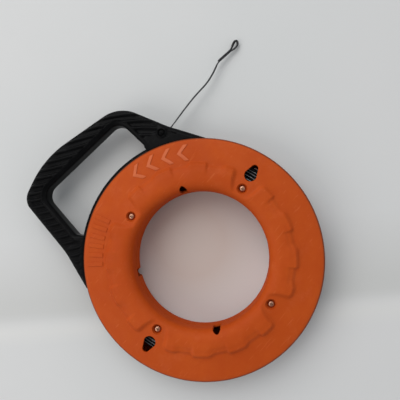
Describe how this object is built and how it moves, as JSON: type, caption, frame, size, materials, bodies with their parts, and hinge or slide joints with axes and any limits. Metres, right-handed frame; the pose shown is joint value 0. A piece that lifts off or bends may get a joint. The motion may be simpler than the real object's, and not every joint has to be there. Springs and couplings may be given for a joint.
{
  "type": "fish tape reel",
  "caption": "Hand reel with a round two-shell case that turns in a ring handle and pays out a flat steel fish tape ending in a small eye.",
  "frame": {"origin": "middle of the reel's footprint, case and handle together, on the plane of the rear shell's flat crest, which the reel lies on", "axes": "+Z out of the front shell along the axis that the case turns on, +Y from the case to the handle, +X towards the side where the tape leaves"},
  "size_m": [0.4083, 0.394, 0.056],
  "materials": {
    "case_shell": "moulded orange plastic, fine satin texture, scuffed on the raised edges",
    "handle_plastic": "moulded black plastic with ribs, semi-matte",
    "guide_plastic": "smooth black wear-resistant plastic",
    "fasteners": "zinc-plated steel",
    "tape_steel": "dark tempered spring steel, lightly scratched"
  },
  "bodies": {
    "handle": {"handle": "handle_plastic", "tape_guide": "guide_plastic", "guide_screw": "fasteners"},
    "drum": {"front_case": "case_shell", "rear_case": "case_shell", "case_screw_1": "fasteners", "case_screw_2": "fasteners", "case_screw_3": "fasteners", "case_screw_4": "fasteners", "case_nut_1": "fasteners", "case_nut_2": "fasteners", "case_nut_3": "fasteners", "case_nut_4": "fasteners", "tape_coil": "tape_steel", "tape_tail": "tape_steel", "tape_anchor": "fasteners", "anchor_screw": "fasteners"},
    "tape": {"tape_leader": "tape_steel", "tape_eye": "tape_steel"}
  },
  "joints": [
    {"name": "drum_spin", "type": "hinge", "parent": "handle", "child": "drum", "pos_m": [0, -0.04455, 0.028], "axis": [0, 0, 1], "continuous": true},
    {"name": "tape_pull", "type": "slide", "parent": "handle", "child": "tape", "axis": [0.9902, 0.0495, -0.1307], "range_m": [-0.112, 0.01]}
  ]
}
